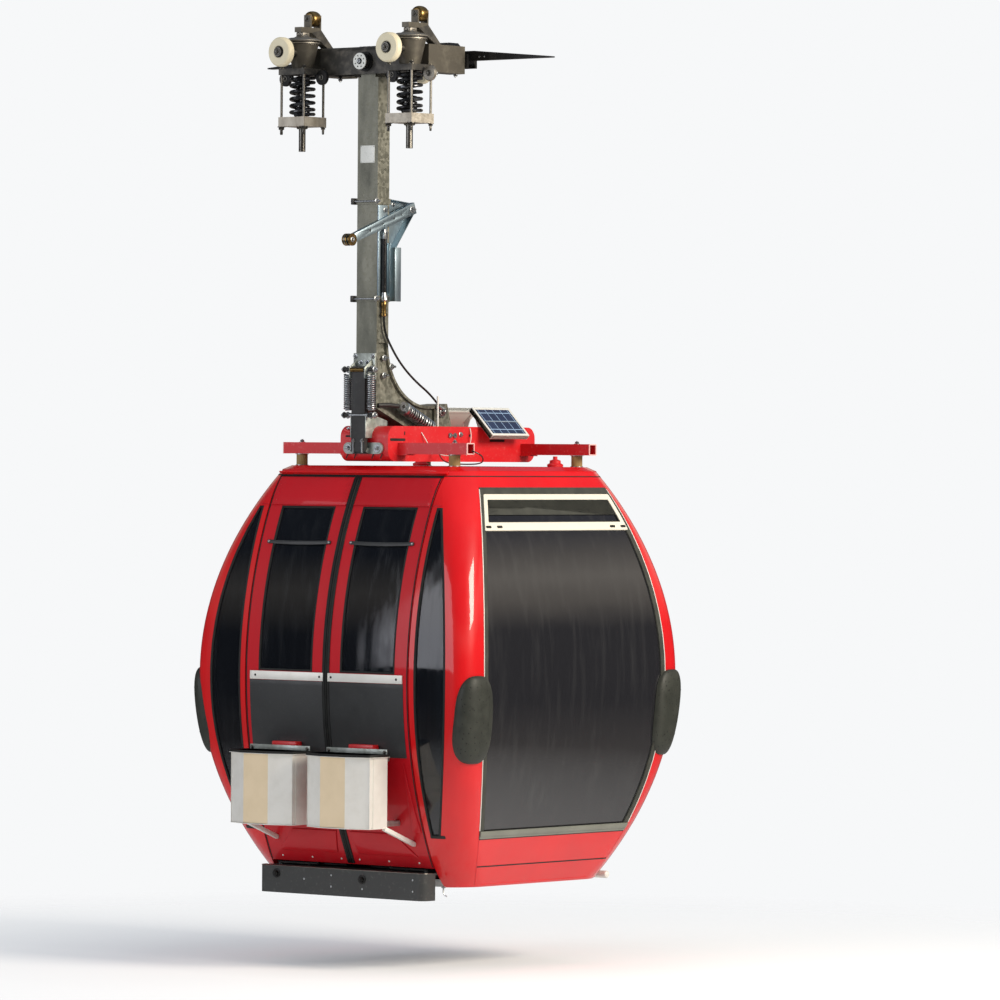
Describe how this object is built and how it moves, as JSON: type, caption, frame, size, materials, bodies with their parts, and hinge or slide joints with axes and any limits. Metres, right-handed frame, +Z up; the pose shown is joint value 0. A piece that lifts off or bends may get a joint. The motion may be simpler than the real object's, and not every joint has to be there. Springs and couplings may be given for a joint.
{
  "type": "cable car cabin",
  "caption": "Rope-hung gondola cabin with bulging glazed sides, ski pockets on sliding doors, a bent hanger arm and a spring-loaded rope grip with guide wheels.",
  "frame": {"origin": "on the rope's axis, halfway between the two grip jaws", "axes": "+X along the rope, -Y out of the doors, +Z up; the cabin hangs below"},
  "size_m": [1.96, 2.0826, 4.669],
  "materials": {
    "galvanised_steel": "hot-dip galvanised, dull mottled",
    "cable_sheath": "black sheath",
    "black_steel": "satin black",
    "spring_steel": "oiled spring steel",
    "grey_casting": "dark phosphated casting",
    "black_casting": "black casting",
    "red_steel": "gloss red",
    "red_body": "gloss red",
    "tan_rubber": "tan rubber",
    "anthracite_steel": "textured anthracite",
    "white_steel": "white",
    "white_frame": "white frame",
    "bumper_rubber": "dark rubber",
    "floor_aluminium": "plate",
    "window_plastic": "tinted clear sheet",
    "bare_aluminium": "bare sheet",
    "zinc_steel": "zinc plated",
    "seat_frame_grey": "grey",
    "seat_pad": "grey moulded seat",
    "solar_cells": "dark cells under glass",
    "grip_zinc": "zinc and grey paint",
    "cream_nylon": "cream nylon",
    "roller_brass": "worn"
  },
  "bodies": {
    "grip": {"grip_frame": "grey_casting", "grip_jaw": "black_casting", "grip_springs": "spring_steel", "spring_pack_left": "grip_zinc", "spring_pack_right": "grip_zinc"},
    "carrier": {"back_header": "red_body", "back_panel": "red_body", "back_window": "window_plastic", "corner_bumpers": "bumper_rubber", "door_step": "anthracite_steel", "end_header_left": "red_body", "end_header_right": "red_body", "end_panel_left": "red_body", "end_panel_right": "red_body", "end_window_left": "window_plastic", "end_window_right": "window_plastic", "floor_pan": "floor_aluminium", "guide_tube": "white_steel", "hanger_arm": "galvanised_steel", "pillar_back_left": "red_body", "pillar_back_right": "red_body", "pillar_door_left": "red_body", "pillar_door_right": "red_body", "release_cable": "cable_sheath", "release_linkage": "galvanised_steel", "roof": "red_body", "roof_frame": "red_steel", "roof_mounts": "tan_rubber", "seat_frame_left": "seat_frame_grey", "seat_frame_right": "seat_frame_grey", "side_panel_left": "red_body", "side_panel_right": "red_body", "side_window_left": "window_plastic", "side_window_right": "window_plastic", "solar_panel_left": "solar_cells", "solar_panel_right": "solar_cells", "suspension_springs": "spring_steel", "suspension_strut": "black_steel", "vent_frames": "white_frame"},
    "outer_wheel_left": {"outer_wheel_left": "cream_nylon"},
    "inner_wheel_left": {"inner_wheel_left": "cream_nylon"},
    "lever_roller_left": {"lever_roller_left": "roller_brass"},
    "door_arm_left": {"door_arm_left": "zinc_steel"},
    "door_link_left": {"door_link_left": "zinc_steel"},
    "seat_left": {"seat_left": "seat_pad"},
    "door_left": {"door_leaf_left": "red_body", "door_glass_left": "window_plastic", "ski_pocket_left": "bare_aluminium"},
    "outer_wheel_right": {"outer_wheel_right": "cream_nylon"},
    "inner_wheel_right": {"inner_wheel_right": "cream_nylon"},
    "lever_roller_right": {"lever_roller_right": "roller_brass"},
    "door_arm_right": {"door_arm_right": "zinc_steel"},
    "door_link_right": {"door_link_right": "zinc_steel"},
    "seat_right": {"seat_right": "seat_pad"},
    "door_right": {"door_leaf_right": "red_body", "door_glass_right": "window_plastic", "ski_pocket_right": "bare_aluminium"}
  },
  "joints": [
    {"name": "carrier_swing", "type": "hinge", "parent": "grip", "child": "carrier", "pos_m": [0, -0.28, 0.02], "axis": [0, 1, 0], "range_deg": [-45, 45]},
    {"name": "outer_wheel_left_spin", "type": "hinge", "parent": "grip", "child": "outer_wheel_left", "pos_m": [-0.372, -0.6, 0.07], "axis": [0, 1, 0], "continuous": true},
    {"name": "inner_wheel_left_spin", "type": "hinge", "parent": "grip", "child": "inner_wheel_left", "pos_m": [-0.182, -0.1, -0.028], "axis": [0, 1, 0], "continuous": true},
    {"name": "lever_roller_left_spin", "type": "hinge", "parent": "grip", "child": "lever_roller_left", "pos_m": [-0.372, -0.35, 0.257], "axis": [0, 1, 0], "continuous": true},
    {"name": "door_left_open", "type": "hinge", "parent": "carrier", "child": "door_arm_left", "pos_m": [-0.50466, -0.4059, -4.2145], "axis": [0, 0, -1], "range_deg": [0, 150]},
    {"name": "door_left_level", "type": "hinge", "parent": "door_arm_left", "child": "door_left", "pos_m": [-0.255, -0.39281, -4.2145], "axis": [0, 0, -1], "range_deg": [-150, 0]},
    {"name": "door_left_link", "type": "hinge", "parent": "carrier", "child": "door_link_left", "pos_m": [-0.34045, -0.3619, -4.2145], "axis": [0, 0, -1], "range_deg": [0, 150]},
    {"name": "seat_left_fold", "type": "hinge", "parent": "carrier", "child": "seat_left", "pos_m": [-0.785, 0.28, -3.837], "axis": [0, -1, 0], "range_deg": [0, 60]},
    {"name": "outer_wheel_right_spin", "type": "hinge", "parent": "grip", "child": "outer_wheel_right", "pos_m": [0.372, -0.6, 0.07], "axis": [0, 1, 0], "continuous": true},
    {"name": "inner_wheel_right_spin", "type": "hinge", "parent": "grip", "child": "inner_wheel_right", "pos_m": [0.182, -0.1, -0.028], "axis": [0, 1, 0], "continuous": true},
    {"name": "lever_roller_right_spin", "type": "hinge", "parent": "grip", "child": "lever_roller_right", "pos_m": [0.372, -0.35, 0.257], "axis": [0, 1, 0], "continuous": true},
    {"name": "door_right_open", "type": "hinge", "parent": "carrier", "child": "door_arm_right", "pos_m": [0.50466, -0.4059, -4.2145], "axis": [0, 0, 1], "range_deg": [0, 150]},
    {"name": "door_right_level", "type": "hinge", "parent": "door_arm_right", "child": "door_right", "pos_m": [0.255, -0.39281, -4.2145], "axis": [0, 0, 1], "range_deg": [-150, 0]},
    {"name": "door_right_link", "type": "hinge", "parent": "carrier", "child": "door_link_right", "pos_m": [0.34045, -0.3619, -4.2145], "axis": [0, 0, 1], "range_deg": [0, 150]},
    {"name": "seat_right_fold", "type": "hinge", "parent": "carrier", "child": "seat_right", "pos_m": [0.785, 0.28, -3.837], "axis": [0, 1, 0], "range_deg": [0, 60]}
  ],
  "couplings": [
    {"joint": "door_left_level", "follows": "door_left_open", "ratio": -1},
    {"joint": "door_left_link", "follows": "door_left_open", "ratio": 1},
    {"joint": "door_right_level", "follows": "door_right_open", "ratio": -1},
    {"joint": "door_right_link", "follows": "door_right_open", "ratio": 1}
  ]
}
